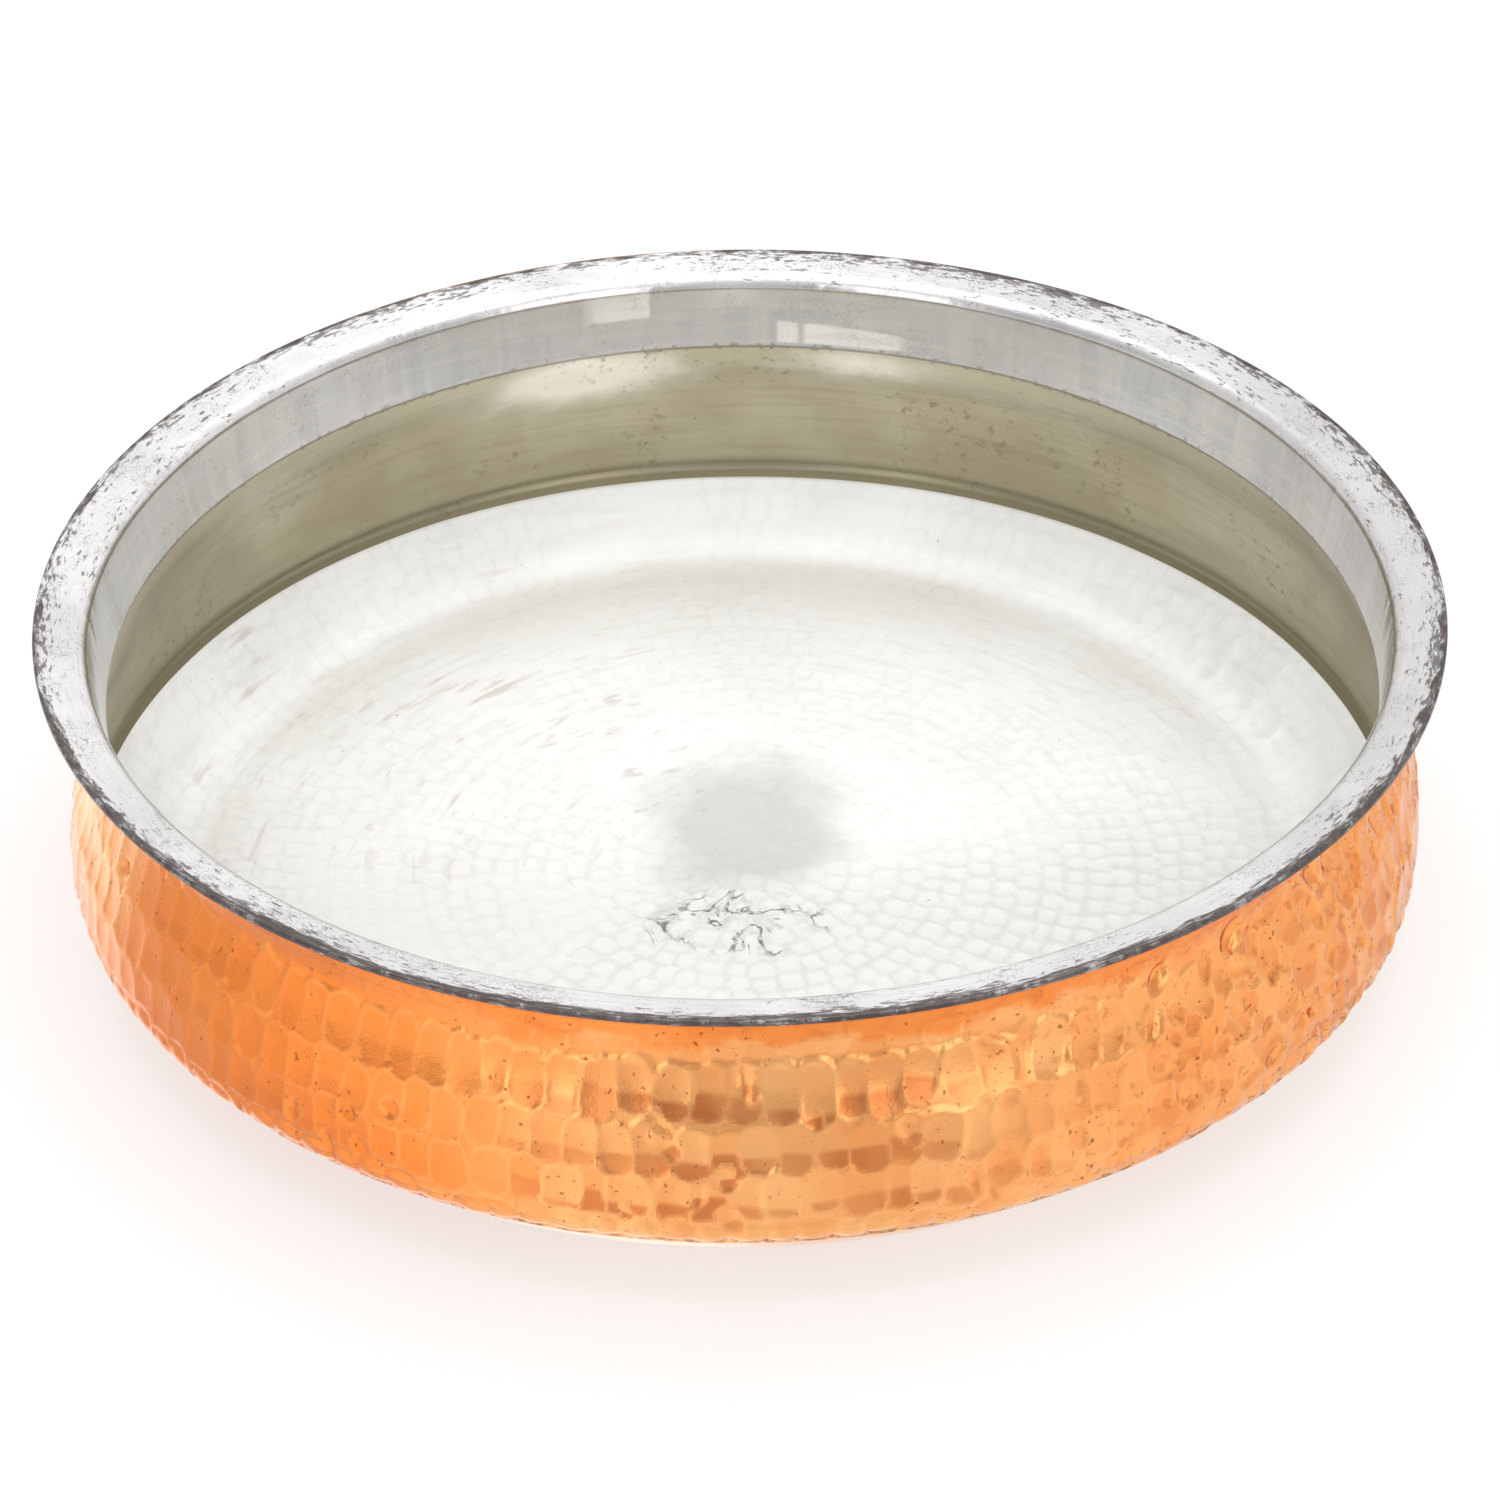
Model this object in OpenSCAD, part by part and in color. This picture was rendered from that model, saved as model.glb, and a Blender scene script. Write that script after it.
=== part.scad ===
// Hammered copper serving pan: a wide shallow vessel with a bulging belly,
// a short waisted neck and a flared lip, tinned on the inside.
// Three copper sheets are brazed edge to edge with scarfed seams, then the
// inside and the lip are coated with tin. Millimetres, +Z up, the origin is
// the centre of the flat underside.

/* [Overall] */
// Outside diameter of the lip
lip_d = 330; // [320:1:345]
// Height from the underside to the top of the lip
height = 82.5; // [78:0.5:95]
// Thickness of the copper sheet
sheet_t = 1.5; // [1:0.1:2]
// Thickness of the tin coat
tin_t = 0.3; // [0.2:0.05:0.4]

/* [Base and heel] */
// Radius at which the flat underside turns up into the heel
base_r = 140.6; // [125:0.1:145]
// Height of the heel, where the belly starts
heel_h = 19.5; // [14:0.5:23]
// Radius of the turn from the underside into the heel
base_bend_r = 22; // [5:0.5:30]
// Radius of the turn from the heel into the belly
heel_bend_r = 8; // [6:0.5:13]

/* [Belly] */
// Largest outside radius of the belly
belly_r = 161.2; // [158:0.1:163]
// Height at which the belly starts to lean in to the neck
shoulder_z = 40.5; // [39:0.5:44]
// Radius of the belly's upper curve
shoulder_bend_r = 68; // [40:1:70]

/* [Neck and lip] */
// Outside radius of the neck at its waist
neck_r = 152.3; // [150:0.1:153]
// Height of the waist
neck_z = 62; // [60:0.5:64]
// Outside radius of the neck where it turns out into the lip
collar_r = 154.6; // [153.5:0.1:156]
// Upward tilt of the lip, in degrees
lip_tilt = 10.5; // [4:0.5:14]
// Radius of the waist on the outside
waist_outer_r = 8; // [4:0.5:9]
// Radius of the crease at the waist on the inside
waist_inner_r = 1; // [0.5:0.1:2]
// Radius of the turn under the lip
lip_under_r = 2.5; // [1.5:0.5:4]
// Radius of the turn on top of the lip
lip_top_r = 4; // [3:0.5:6]

/* [Brazed seams] */
// Length over which the collar laps the belly
upper_lap = 5; // [4:0.5:6]
// Where round the heel's bend the lower seam shows inside, 0 to 1
lower_seam_in = 0.25; // [0.2:0.05:0.35]
// Where round the heel's bend the lower seam shows outside, 0 to 1
lower_seam_out = 0.75; // [0.65:0.05:0.8]
// Thickness of the brass filler in a seam
braze_t = 0.3; // [0.2:0.05:0.4]

/* [Hidden] */

$fn = 144;
// largest turn between two neighbouring points of a bend, in degrees
bend_step = 3;
// how far a seam's cut runs on past each face of the sheet, along the seam
cut_over = 0.25;
// a radius and a depth outside the whole vessel
far_r = lip_d;
far_z = -height;

lip_r = lip_d / 2;
wall_t = sheet_t + tin_t;
lip_under_z = height - wall_t / cos(lip_tilt);
collar_z = lip_under_z - (lip_r - collar_r) * tan(lip_tilt);

// Corners of the copper's outside, from the centre of the underside to the
// edge of the lip: radius, height, bend radius outside, bend radius inside
CORNERS = [
    [0, 0, 0, 0],
    [base_r, 0, base_bend_r, base_bend_r - wall_t],
    [belly_r, heel_h, heel_bend_r, heel_bend_r - wall_t],
    [belly_r, shoulder_z, shoulder_bend_r, shoulder_bend_r - wall_t],
    [neck_r, neck_z, waist_outer_r, waist_inner_r],
    [collar_r, collar_z, lip_under_r, lip_top_r],
    [lip_r, lip_under_z, 0, 0]
];
HEEL = 2;
WAIST = 4;
LAST = len(CORNERS) - 1;

function unit(v) = v / norm(v);
// the normal that points into the vessel from a path that runs out and up
function inward(dir) = [-dir[1], dir[0]];
function corner_at(i) = [CORNERS[i][0], CORNERS[i][1]];
function run_dir(i) = unit(corner_at(i + 1) - corner_at(i));

// corner i of the face that lies depth inside the copper's outside
function shifted(i, depth) =
    i == 0 ? [0, depth]
    : i == LAST ? [lip_r, lip_under_z + depth / cos(lip_tilt)]
    : let (a = inward(run_dir(i - 1)), b = inward(run_dir(i)))
      corner_at(i) + depth * (a + b) / (1 + a * b);

// points of the rounded bend at corner i of that face
function bend(i, depth) =
    let (
        corner = shifted(i, depth),
        dir_in = run_dir(i - 1),
        dir_out = run_dir(i),
        turn = acos(dir_in * dir_out),
        side = sign(dir_in[0] * dir_out[1] - dir_in[1] * dir_out[0]),
        radius = CORNERS[i][depth > 0 ? 3 : 2],
        start = corner - radius * tan(turn / 2) * dir_in,
        centre = start + side * radius * inward(dir_in),
        steps = ceil(turn / bend_step)
    )
    [for (k = [0:steps])
        let (angle = side * turn * k / steps, spoke = start - centre)
        centre + [spoke[0] * cos(angle) - spoke[1] * sin(angle),
                  spoke[0] * sin(angle) + spoke[1] * cos(angle)]];

// one whole face, from the axis to the edge of the lip
function face(depth) = concat(
    [shifted(0, depth)],
    [for (i = [1:LAST - 1]) each bend(i, depth)],
    [shifted(LAST, depth)]);

function reversed(path) = [for (i = [len(path) - 1:-1:0]) path[i]];

function part_way(path, share) = path[round(share * (len(path) - 1))];

// A seam crosses the sheet on a slant: [inner lower end, outer upper end]
LOWER_SEAM = [part_way(bend(HEEL, sheet_t), lower_seam_in),
              part_way(bend(HEEL, 0), lower_seam_out)];
UPPER_SEAM = [part_way(bend(WAIST, sheet_t), 0.5),
              corner_at(WAIST) + upper_lap * run_dir(WAIST)];

// Section of a layer of the wall between two depths from the outside
module layer(from_depth, to_depth) {
    polygon(concat(face(from_depth), reversed(face(to_depth))));
}

// An area that holds the whole section
module whole_section() {
    translate([0, far_z])
        square([far_r, 3 * height]);
}

// Everything below a seam, with the cut moved up and in by lift
module below_seam(seam, lift) {
    along = unit(seam[1] - seam[0]);
    over = cut_over * (seam[1] - seam[0]);
    low = seam[0] - over + inward(along) * lift;
    high = seam[1] + over + inward(along) * lift;
    polygon([[0, far_z], [far_r, far_z], [far_r, high[1]], high, low, [0, low[1]]]);
}

// The stretch of the copper sheet that lies in the children's area
module copper_sheet() {
    rotate_extrude()
        intersection() {
            layer(0, sheet_t);
            children();
        }
}

// The stretch of the tin coat that lies in the children's area
module tin_coat() {
    rotate_extrude()
        intersection() {
            layer(sheet_t, wall_t);
            children();
        }
}

// The brass that fills the slanted gap of a seam
module braze(seam) {
    color("goldenrod")
        copper_sheet()
            difference() {
                below_seam(seam, braze_t / 2);
                below_seam(seam, -braze_t / 2);
            }
}

// Everything lower than the inner end of a seam, where the tin changes finish
module tin_below(seam) {
    translate([0, far_z])
        square([far_r, seam[0][1] - far_z]);
}

module base_pan() {
    color("peru")
        copper_sheet()
            below_seam(LOWER_SEAM, -braze_t / 2);
}

module belly_wall() {
    color("sandybrown")
        copper_sheet()
            difference() {
                below_seam(UPPER_SEAM, -braze_t / 2);
                below_seam(LOWER_SEAM, braze_t / 2);
            }
}

module neck_collar() {
    color("darksalmon")
        copper_sheet()
            difference() {
                whole_section();
                below_seam(UPPER_SEAM, braze_t / 2);
            }
}

module lower_seam_braze() {
    braze(LOWER_SEAM);
}

module upper_seam_braze() {
    braze(UPPER_SEAM);
}

module floor_tinning() {
    color("whitesmoke")
        tin_coat()
            tin_below(LOWER_SEAM);
}

module wall_tinning() {
    color("darkkhaki")
        tin_coat()
            difference() {
                tin_below(UPPER_SEAM);
                tin_below(LOWER_SEAM);
            }
}

module lip_tinning() {
    color("gainsboro")
        tin_coat()
            difference() {
                whole_section();
                tin_below(UPPER_SEAM);
            }
}

base_pan();
belly_wall();
neck_collar();
lower_seam_braze();
upper_seam_braze();
floor_tinning();
wall_tinning();
lip_tinning();
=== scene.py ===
"""Looks of the hammered copper serving pan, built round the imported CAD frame.

The CAD's section is repeated here from its corners. Each sheet and each tin
coat is a closed mesh with hammer marks, facets and wobble in its geometry, and
stands for its CAD node. Millimetres inside, metres on the way to Blender.
Azimuth is measured from the front, -Y, towards the right, +X.
"""
import bpy
import math
import numpy as np
from mathutils import Matrix, Vector


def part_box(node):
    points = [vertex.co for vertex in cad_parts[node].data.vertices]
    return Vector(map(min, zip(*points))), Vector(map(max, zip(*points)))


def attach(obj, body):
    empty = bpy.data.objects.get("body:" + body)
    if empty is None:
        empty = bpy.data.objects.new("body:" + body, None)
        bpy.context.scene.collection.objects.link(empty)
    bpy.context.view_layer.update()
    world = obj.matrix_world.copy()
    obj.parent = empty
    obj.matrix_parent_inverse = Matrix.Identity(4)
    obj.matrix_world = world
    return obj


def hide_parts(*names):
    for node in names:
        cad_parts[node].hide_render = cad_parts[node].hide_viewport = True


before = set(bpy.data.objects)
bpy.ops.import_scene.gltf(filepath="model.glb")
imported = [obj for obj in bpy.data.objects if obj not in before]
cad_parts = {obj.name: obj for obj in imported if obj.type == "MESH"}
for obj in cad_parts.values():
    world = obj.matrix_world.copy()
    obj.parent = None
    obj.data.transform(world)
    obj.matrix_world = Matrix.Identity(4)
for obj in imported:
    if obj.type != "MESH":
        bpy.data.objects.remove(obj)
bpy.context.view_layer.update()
MM = 0.001
rng = np.random.default_rng(20)

# ---------------------------------------------------------------- section
LIP_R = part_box("lip_tinning")[1].x / MM
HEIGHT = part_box("lip_tinning")[1].z / MM
BELLY_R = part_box("belly_wall")[1].x / MM
SHEET = 1.5         # copper
WALL = 1.8          # copper and tin
BASE_R, BASE_BEND = 140.6, 22
HEEL_Z, HEEL_BEND = 19.5, 8
SHOULDER_Z, SHOULDER_BEND = 40.5, 68
NECK_R, NECK_Z = 152.3, 62
COLLAR_R = 154.6
LIP_TILT = math.radians(10.5)
UPPER_LAP = 5.0     # how far the collar laps the belly
LOW_SEAM_IN, LOW_SEAM_OUT = 0.25, 0.75      # where round the heel's bend the lower seam shows
BEND_STEPS = 40
lip_under = HEIGHT - WALL / math.cos(LIP_TILT)
collar_z = lip_under - (LIP_R - COLLAR_R) * math.tan(LIP_TILT)
# the copper's outside: radius, height, bend radius outside, bend radius inside
CORNERS = [
    (0, 0, 0, 0),
    (BASE_R, 0, BASE_BEND, BASE_BEND - WALL),
    (BELLY_R, HEEL_Z, HEEL_BEND, HEEL_BEND - WALL),
    (BELLY_R, SHOULDER_Z, SHOULDER_BEND, SHOULDER_BEND - WALL),
    (NECK_R, NECK_Z, 8, 1),
    (COLLAR_R, collar_z, 2.5, 4),
    (LIP_R, lip_under, 0, 0),
]
HEEL, WAIST, LAST = 2, 4, len(CORNERS) - 1


def corner(i):
    return np.array(CORNERS[i][:2], float)


def run_dir(i):
    d = corner(i + 1) - corner(i)
    return d / np.linalg.norm(d)


def inward(d):
    return np.array([-d[1], d[0]])


def shifted(i, depth):
    if i == 0:
        return np.array([0, depth], float)
    if i == LAST:
        return np.array([LIP_R, lip_under + depth / math.cos(LIP_TILT)])
    a, b = inward(run_dir(i - 1)), inward(run_dir(i))
    return corner(i) + depth * (a + b) / (1 + a @ b)


def bend(i, depth):
    """Points of the rounded corner i on the face that lies depth inside the copper's outside."""
    d_in, d_out = run_dir(i - 1), run_dir(i)
    turn = math.acos(d_in @ d_out)
    side = math.copysign(1, d_in[0] * d_out[1] - d_in[1] * d_out[0])
    radius = CORNERS[i][3 if depth > 0 else 2]
    start = shifted(i, depth) - radius * math.tan(turn / 2) * d_in
    centre = start + side * radius * inward(d_in)
    ang = side * turn * np.linspace(0, 1, BEND_STEPS + 1)
    x, y = start - centre
    return centre + np.stack([x * np.cos(ang) - y * np.sin(ang),
                              x * np.sin(ang) + y * np.cos(ang)], 1)


class Path:
    """One face of the section, by length from the axis. Normals leave the metal."""

    def __init__(self, depth):
        pts = [shifted(0, depth)[None]]
        pts += [bend(i, depth) for i in range(1, LAST)]
        pts.append(shifted(LAST, depth)[None])
        self.p = np.concatenate(pts)
        steps = np.linalg.norm(np.diff(self.p, axis=0), axis=1)
        self.s = np.concatenate([[0], np.cumsum(steps)])
        self.side = 1 if depth == 0 else -1
        self.end = self.s[-1]

    def at(self, s):
        return np.stack([np.interp(s, self.s, self.p[:, 0]),
                         np.interp(s, self.s, self.p[:, 1])], -1)

    def normal(self, s, reach=0.3):
        t = self.at(np.minimum(s + reach, self.end)) - self.at(np.maximum(s - reach, 0))
        t /= np.linalg.norm(t, axis=-1, keepdims=True)
        return self.side * np.stack([t[..., 1], -t[..., 0]], -1)

    def station(self, point):
        """Length at which the face passes closest to a point."""
        s = np.linspace(0, self.end, 20001)
        return s[np.linalg.norm(self.at(s) - point, axis=1).argmin()]

    def height(self, z):
        """Length at which the wall first climbs past z."""
        return np.interp(z, self.p[1:, 1], self.s[1:])


OUT, SHEET_IN, TIN = Path(0), Path(SHEET), Path(WALL)
heel_in, heel_out = bend(HEEL, SHEET), bend(HEEL, 0)
LOW_IN = heel_in[round(LOW_SEAM_IN * BEND_STEPS)]
LOW_OUT = heel_out[round(LOW_SEAM_OUT * BEND_STEPS)]
UP_IN = bend(WAIST, SHEET)[BEND_STEPS // 2]
UP_OUT = corner(WAIST) + UPPER_LAP * run_dir(WAIST)
low_in, low_out = SHEET_IN.station(LOW_IN), OUT.station(LOW_OUT)
up_in, up_out = SHEET_IN.station(UP_IN), OUT.station(UP_OUT)
tin_low, tin_up = TIN.height(LOW_IN[1]), TIN.height(UP_IN[1])


# ---------------------------------------------------------------- relief
class Relief:
    """Heights, tones and shares that hammer marks are struck into. It closes on itself if wrap is set."""

    def __init__(self, u0, u1, v0, v1, step, wrap):
        self.u0, self.v0, self.wrap = u0, v0, wrap
        self.nu = round((u1 - u0) / step)
        self.du = (u1 - u0) / self.nu
        self.nv = int((v1 - v0) / step) + 1
        self.dv = step
        self.h = np.zeros((self.nu, self.nv), np.float32)
        self.tone = np.full((self.nu, self.nv), 0.5, np.float32)
        self.lower = np.full((self.nu, self.nv), 0.3, np.float32)

    def strike(self, cu, cv, a, b, rho, depth, tilt=(0, 0), turn=0, edge=0.14, power=2.6, tone=0.5):
        """One mark at cu, cv: half sizes a and b, dish radii rho, then its depth, tilts and turn.

        edge is how soft the rim is and power how square the outline. lower runs from 1 at the
        foot of the mark to 0 at its top.
        """
        half = max(a, b) * 1.25
        i = np.arange(int((cu - half - self.u0) / self.du),
                      int((cu + half - self.u0) / self.du) + 2)
        j = np.arange(max(0, int((cv - half - self.v0) / self.dv)),
                      min(self.nv, int((cv + half - self.v0) / self.dv) + 2))
        if not self.wrap:
            i = i[(i >= 0) & (i < self.nu)]
        if len(i) == 0 or len(j) == 0:
            return
        u = (self.u0 + i * self.du - cu)[:, None]
        v = (self.v0 + j * self.dv - cv)[None, :]
        c, s = math.cos(turn), math.sin(turn)
        u, v = u * c + v * s, v * c - u * s
        q = (np.abs(u / a) ** power + np.abs(v / b) ** power) ** (1 / power)
        w = np.clip((1 - q) / edge, 0, 1)
        w = w * w * (3 - 2 * w)
        full = np.clip(w * 2, 0, 1)
        dent = u * u / (2 * rho[0]) + v * v / (2 * rho[1]) - depth + tilt[0] * u + tilt[1] * v
        k = np.ix_(i % self.nu, j)
        self.h[k] += (dent - self.h[k]) * w
        self.tone[k] += (tone - self.tone[k]) * full
        self.lower[k] += (np.clip(0.5 - 0.5 * v / b, 0, 1) - self.lower[k]) * full

    def sample(self, u, v, field=None):
        f = self.h if field is None else field
        x = (u - self.u0) / self.du
        y = np.clip((v - self.v0) / self.dv, 0, self.nv - 1.001)
        i, j = np.floor(x).astype(int), np.floor(y).astype(int)
        fx, fy = x - i, y - j
        if self.wrap:
            i0, i1 = i % self.nu, (i + 1) % self.nu
        else:
            i0, i1 = np.clip(i, 0, self.nu - 1), np.clip(i + 1, 0, self.nu - 1)
        return ((f[i0, j] * (1 - fx) + f[i1, j] * fx) * (1 - fy)
                + (f[i0, j + 1] * (1 - fx) + f[i1, j + 1] * fx) * fy)

    def ridges(self, scale):
        """How ridge-like the relief is at each point, 0 to 1."""
        h = self.h
        lap = np.roll(h, 2, 0) + np.roll(h, -2, 0) + np.roll(h, 2, 1) + np.roll(h, -2, 1) - 4 * h
        return np.clip(-lap / scale, 0, 1)


def bump_at(a, centre, width):
    """1 at the centre azimuth, falling to 0 a few widths away; degrees in, radians for a."""
    d = (a - math.radians(centre) + math.pi) % (2 * math.pi) - math.pi
    return np.exp(-(d / math.radians(width)) ** 2)


def step_between(x, lo, hi):
    t = np.clip((x - lo) / (hi - lo), 0, 1)
    return t * t * (3 - 2 * t)


# Outside of the wall: rows of tall marks lapping like shingles, the heel's row struck last. Each row:
# middle height, half height of a mark, strength, how far its marks stand up from the wall's lean
TURN = 2 * math.pi
HEEL_ROW_BELOW = 25     # rows lower than this are domed, not dished
GOUGES = 900            # places tried, most of them passed over
wall = Relief(-math.pi * BELLY_R, math.pi * BELLY_R, OUT.height(8), OUT.end, 0.4, True)
ROWS = [(31.5, 8.0, 1.0, 0.020), (43.2, 7.3, 1.0, 0.040), (55.6, 8.2, 0.9, 0.045),
        (66.0, 4.4, 0.35, 0.0), (20.4, 4.9, 1.1, 0.0)]
for row, (z_mid, half_tall, strength, stand) in enumerate(ROWS):
    v_mid = OUT.height(z_mid)
    count = 124 + (row * 5) % 7
    for k in rng.permutation(count):
        a = TURN * (k + 0.5 * (row % 2) + rng.uniform(-0.15, 0.15)) / count
        rough = float(bump_at(a, 50, 30) + 0.8 * bump_at(a, 165, 40) + 0.6 * bump_at(a, -120, 30))
        slim = float(bump_at(a, -50, 24))
        wide = 4.9 * (1 - 0.10 * slim) * rng.uniform(0.84, 1.14)
        tall = half_tall * (1 - 0.10 * rough) * rng.uniform(0.86, 1.10)
        depth = (0.34 - 0.12 * slim) * strength * rng.uniform(0.7, 1.25)
        lean = (0.014 + 0.040 * rough) * strength
        rho = (34 * (1 + 0.5 * slim) / strength, 36 * (1 + 0.6 * slim) / strength)
        if z_mid < HEEL_ROW_BELOW:
            rho, depth = (-17, -15), -0.10
        wall.strike(a * BELLY_R, v_mid + rng.normal(0, 0.7 + 1.2 * rough), wide, tall, rho, depth,
                    tilt=(rng.normal(0, lean), stand * (1 - 0.6 * slim) + rng.normal(0, lean * 0.8)),
                    turn=rng.normal(0, 0.07 + 0.22 * rough), edge=0.13, power=2.9,
                    tone=rng.uniform(0, 1))
# small gouges where the hammer's edge caught, mostly on the right
for _ in range(GOUGES):
    a = rng.uniform(-math.pi, math.pi)
    if rng.random() > 0.07 + 0.85 * bump_at(a, 54, 22) + 0.4 * bump_at(a, 170, 40):
        continue
    v = OUT.height(rng.uniform(20, 63))
    wall.strike(a * BELLY_R, v, rng.uniform(1.1, 3.0), rng.uniform(2.4, 5.4), (16, 30),
                rng.uniform(0.35, 0.85), tilt=(rng.normal(0, 0.14), rng.normal(0, 0.08)),
                turn=rng.normal(0.35, 0.5), edge=0.30, tone=rng.uniform(0.5, 1.0))
wall_ridge = wall.ridges(0.10)

# Floor: rings of planishing marks, struck from the rim to the centre
floor = Relief(-160, 160, -160, 160, 0.5, False)
under = Relief(-165, 165, -165, 165, 0.7, False)
for field, ring_step, size, deep in ((floor, 5.9, 3.7, 0.125), (under, 7.0, 4.6, 0.09)):
    r = 157.0
    while r > 0:
        count = max(1, round(TURN * r / (2 * size * 0.82)))
        phase = rng.uniform(0, TURN)
        for k in range(count):
            a = phase + TURN * (k + rng.uniform(-0.15, 0.15)) / count
            rr = r + rng.normal(0, 0.5)
            clear = 0.35 + 0.9 * float(bump_at(a, 60, 55)) + 0.5 * float(bump_at(a, -20, 40))
            half = size * rng.uniform(0.85, 1.15)
            depth = deep * clear * rng.uniform(0.7, 1.3)
            dish = half * half / (2 * depth)
            field.strike(rr * math.sin(a), -rr * math.cos(a), half, half * 0.95, (dish, dish), depth,
                         tilt=(rng.normal(0, 0.006), rng.normal(0, 0.006)),
                         turn=a, edge=0.22, power=2.2)
        r -= ring_step * rng.uniform(0.92, 1.08)

# bigger scallops inside the heel, on the right
for _ in range(26):
    a = math.radians(rng.uniform(62, 132))
    rr = rng.uniform(143, 154)
    floor.strike(rr * math.sin(a), -rr * math.cos(a), rng.uniform(3.6, 6.0), rng.uniform(2.6, 4.2),
                 (30, 26), rng.uniform(0.12, 0.20), tilt=(rng.normal(0, 0.03), rng.normal(0, 0.03)),
                 turn=a + rng.normal(0, 0.4), edge=0.25)

# Neck and lip inside: upright facets on the neck
neck = Relief(-math.pi * COLLAR_R, math.pi * COLLAR_R, tin_up, TIN.end, 0.5, True)
NECK_TOP, LIP_LOW = 79, 80.6        # heights between which the neck turns out into the lip
NECK_MID = (tin_up + TIN.height(NECK_TOP)) / 2
FACETS = 260
for k in rng.permutation(FACETS):
    a = TURN * (k + rng.uniform(-0.4, 0.4)) / FACETS
    neck.strike(a * COLLAR_R, NECK_MID + rng.normal(0, 1.0), rng.uniform(1.8, 4.6), 11.5, (900, 4000),
                0.02, tilt=(rng.normal(0, 0.008), rng.normal(0, 0.002)),
                turn=rng.normal(0, 0.03), edge=0.12, power=6, tone=rng.uniform(0.2, 0.5))
for _ in range(2):
    neck.tone = (neck.tone + np.roll(neck.tone, 1, 0) + np.roll(neck.tone, -1, 0)
                 + np.roll(neck.tone, 1, 1) + np.roll(neck.tone, -1, 1)) / 5


def waves(a, seed, orders, size):
    """A smooth closed wobble round the vessel."""
    r = np.random.default_rng(seed)
    return size * sum(np.sin(n * a + r.uniform(0, TURN)) * r.uniform(0.5, 1) / n ** 0.7 for n in orders)


def warp(a, r, z):
    """The hand-made shape: where a point of the round form goes, then its true radius and height."""
    true_r, true_z = r, z
    up = np.clip(z / HEIGHT, 0, 1)
    r = r + up ** 2 * waves(a, 1, (2, 3, 5), 0.42) + waves(a, 2, (4, 7, 9), 0.10)
    r = r + 1.1 * bump_at(a, 62, 24) * np.exp(-((z - 26) / 14) ** 2) * (r / LIP_R)
    r = r - 3.0 * bump_at(a, -86, 24) * np.exp(-((z - 47) / 13) ** 2)
    z = z + up ** 3 * waves(a, 3, (2, 3, 4), 0.30)
    return np.stack([r * np.sin(a), -r * np.cos(a), z, true_r, true_z], -1) * MM


# ---------------------------------------------------------------- meshes
# points round the pan: on the copper and the lip, the floor's tin, the wall's tin, the brass
N, N_FLOOR, N_WALL, N_BRASS = 1344, 960, 1080, 480
EDGE_IN = 0.08      # how far the copper's edge stays inside the lip's radius
TIN_PROUD = 0.06    # how far the tin stands out past the lip's radius
EDGE_ROUND = 0.45


def mesh_of(name, rows, closed):
    """A closed mesh from rows of points, all the way round. A row of 1 point is a pole."""
    points = np.concatenate(rows)
    verts = points[:, :3]
    start = np.concatenate([[0], np.cumsum([len(r) for r in rows])])
    quads, tris = [], []
    pairs = [(i, i + 1) for i in range(len(rows) - 1)]
    if closed:
        pairs.append((len(rows) - 1, 0))
    for i, j in pairs:
        n, m = len(rows[i]), len(rows[j])
        p, q = start[i], start[j]
        if n == m:
            k = np.arange(n)
            quads.append(np.stack([p + k, p + (k + 1) % n, q + (k + 1) % n, q + k], 1))
        elif n == 1:
            k = np.arange(m)
            tris.append(np.stack([np.full(m, p), q + (k + 1) % m, q + k], 1))
        elif m == 1:
            k = np.arange(n)
            tris.append(np.stack([p + k, p + (k + 1) % n, np.full(n, q)], 1))
        elif m == 2 * n:
            k = np.arange(n)
            tris.append(np.stack([p + k, q + 2 * k + 1, q + 2 * k], 1))
            tris.append(np.stack([p + k, p + (k + 1) % n, q + 2 * k + 1], 1))
            tris.append(np.stack([p + (k + 1) % n, q + (2 * k + 2) % m, q + 2 * k + 1], 1))
        elif n == 2 * m:
            k = np.arange(m)
            tris.append(np.stack([q + k, p + 2 * k, p + 2 * k + 1], 1))
            tris.append(np.stack([q + k, p + 2 * k + 1, q + (k + 1) % m], 1))
            tris.append(np.stack([q + (k + 1) % m, p + 2 * k + 1, p + (2 * k + 2) % n], 1))
        else:
            raise ValueError(f"{name}: rows of {n} and {m} points don't join")
    quads = np.concatenate(quads) if quads else np.zeros((0, 4), int)
    tris = np.concatenate(tris) if tris else np.zeros((0, 3), int)
    me = bpy.data.meshes.new(name)
    me.vertices.add(len(verts))
    me.vertices.foreach_set("co", verts.astype(np.float32).ravel())
    loops = np.concatenate([quads.ravel(), tris.ravel()]).astype(np.int32)
    me.loops.add(len(loops))
    me.loops.foreach_set("vertex_index", loops)
    sizes = np.concatenate([np.full(len(quads), 4), np.full(len(tris), 3)])
    starts = np.concatenate([[0], np.cumsum(sizes)[:-1]]).astype(np.int32)
    me.polygons.add(len(sizes))
    me.polygons.foreach_set("loop_start", starts)
    me.update(calc_edges=True)
    me.validate()
    me.polygons.foreach_set("use_smooth", np.ones(len(me.polygons), bool))
    me.set_sharp_from_angle(angle=math.radians(50))
    for column, attribute in ((3, "true_r"), (4, "true_z")):
        layer = me.attributes.new(attribute, "FLOAT", "POINT")
        layer.data.foreach_set("value", points[:, column].astype(np.float32))
    ob = bpy.data.objects.new(name, me)
    bpy.context.scene.collection.objects.link(ob)
    return ob


def azimuths(count):
    return np.arange(count) * TURN / count - math.pi


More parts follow.
